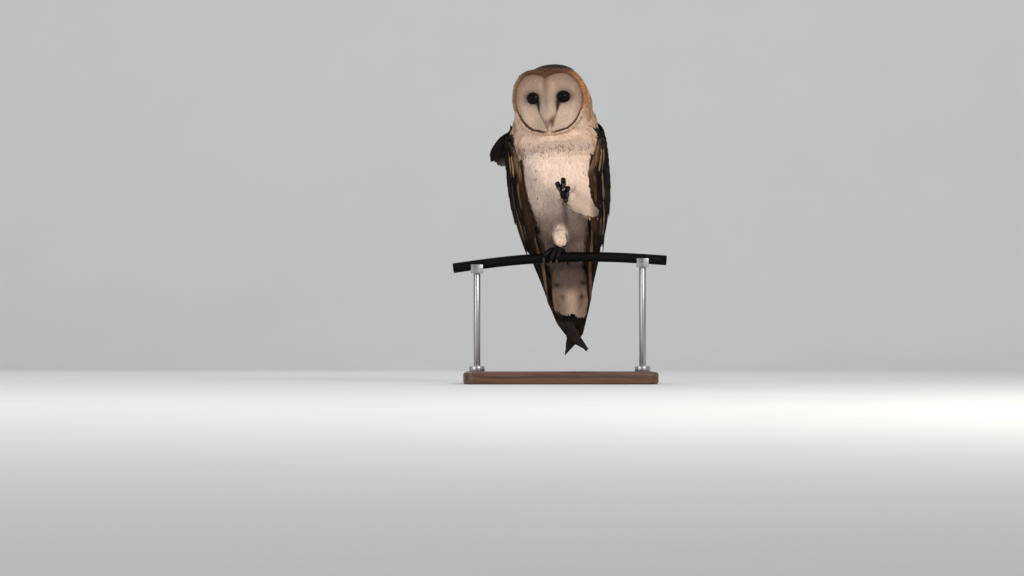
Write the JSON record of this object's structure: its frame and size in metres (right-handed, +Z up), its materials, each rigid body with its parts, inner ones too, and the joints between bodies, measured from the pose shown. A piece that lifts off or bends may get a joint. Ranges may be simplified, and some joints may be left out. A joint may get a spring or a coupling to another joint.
{
  "type": "life-size barn owl model perched on one leg on a cut length of bent metal rod, on a display stand",
  "caption": "Life-size barn owl standing upright on its right leg on a bent metal rod, left foot drawn up to the belly, head turned a little, on a flat base with upright rods",
  "frame": {"origin": "middle of the base's underside, on the floor", "axes": "+Z up; the owl faces -Y; +X is the owl's left"},
  "size_m": [0.2512, 0.168, 0.3745],
  "materials": {
    "white_plumage": "soft matt feathers, white with a peach tinge and small dark specks",
    "golden_plumage": "soft matt feathers, golden orange-brown, greyer on the crown",
    "grey_plumage": "soft matt feathers, dark grey-brown streaked with buff",
    "flight_feather": "smooth matt feathers, dark brown with paler bars, pale underneath",
    "ruff": "short stiff feathers, rust brown above and dark brown below",
    "eye": "black, wet-looking",
    "horn": "pinkish ivory, satin",
    "toe": "scaly dark grey-brown skin",
    "claw": "near-black horn, satin",
    "rod": "dark brown-black, weathered",
    "stand_wood": "dark brown, satin",
    "stand_steel": "satin"
  },
  "bodies": {
    "root": {"bill_lower": "horn", "bill_upper": "horn", "eye_left": "eye", "eye_right": "eye", "facial_disc": "white_plumage", "facial_ruff": "ruff", "foot_left": "toe", "foot_left_hind_claw": "claw", "foot_left_hind_toe": "toe", "foot_left_inner_claw": "claw", "foot_left_inner_toe": "toe", "foot_left_middle_claw": "claw", "foot_left_middle_toe": "toe", "foot_left_outer_claw": "claw", "foot_left_outer_toe": "toe", "foot_right": "toe", "foot_right_hind_claw": "claw", "foot_right_hind_toe": "toe", "foot_right_inner_claw": "claw", "foot_right_inner_toe": "toe", "foot_right_middle_claw": "claw", "foot_right_middle_toe": "toe", "foot_right_outer_claw": "claw", "foot_right_outer_toe": "toe", "head": "golden_plumage", "leg_left_shank": "white_plumage", "leg_left_thigh": "white_plumage", "leg_right_shank": "white_plumage", "leg_right_thigh": "white_plumage", "neck": "white_plumage", "perch": "rod", "stand_base": "stand_wood", "stand_collar_left": "stand_steel", "stand_collar_right": "stand_steel", "stand_post_left": "stand_steel", "stand_post_right": "stand_steel", "stand_saddle_left": "stand_steel", "stand_saddle_right": "stand_steel", "tail": "flight_feather", "trunk": "white_plumage", "wing_left_coverts": "grey_plumage", "wing_left_primaries": "flight_feather", "wing_left_secondaries": "flight_feather", "wing_right_coverts": "grey_plumage", "wing_right_primaries": "flight_feather", "wing_right_secondaries": "flight_feather", "wing_right_shoulder_tuft": "grey_plumage"}
  },
  "joints": []
}
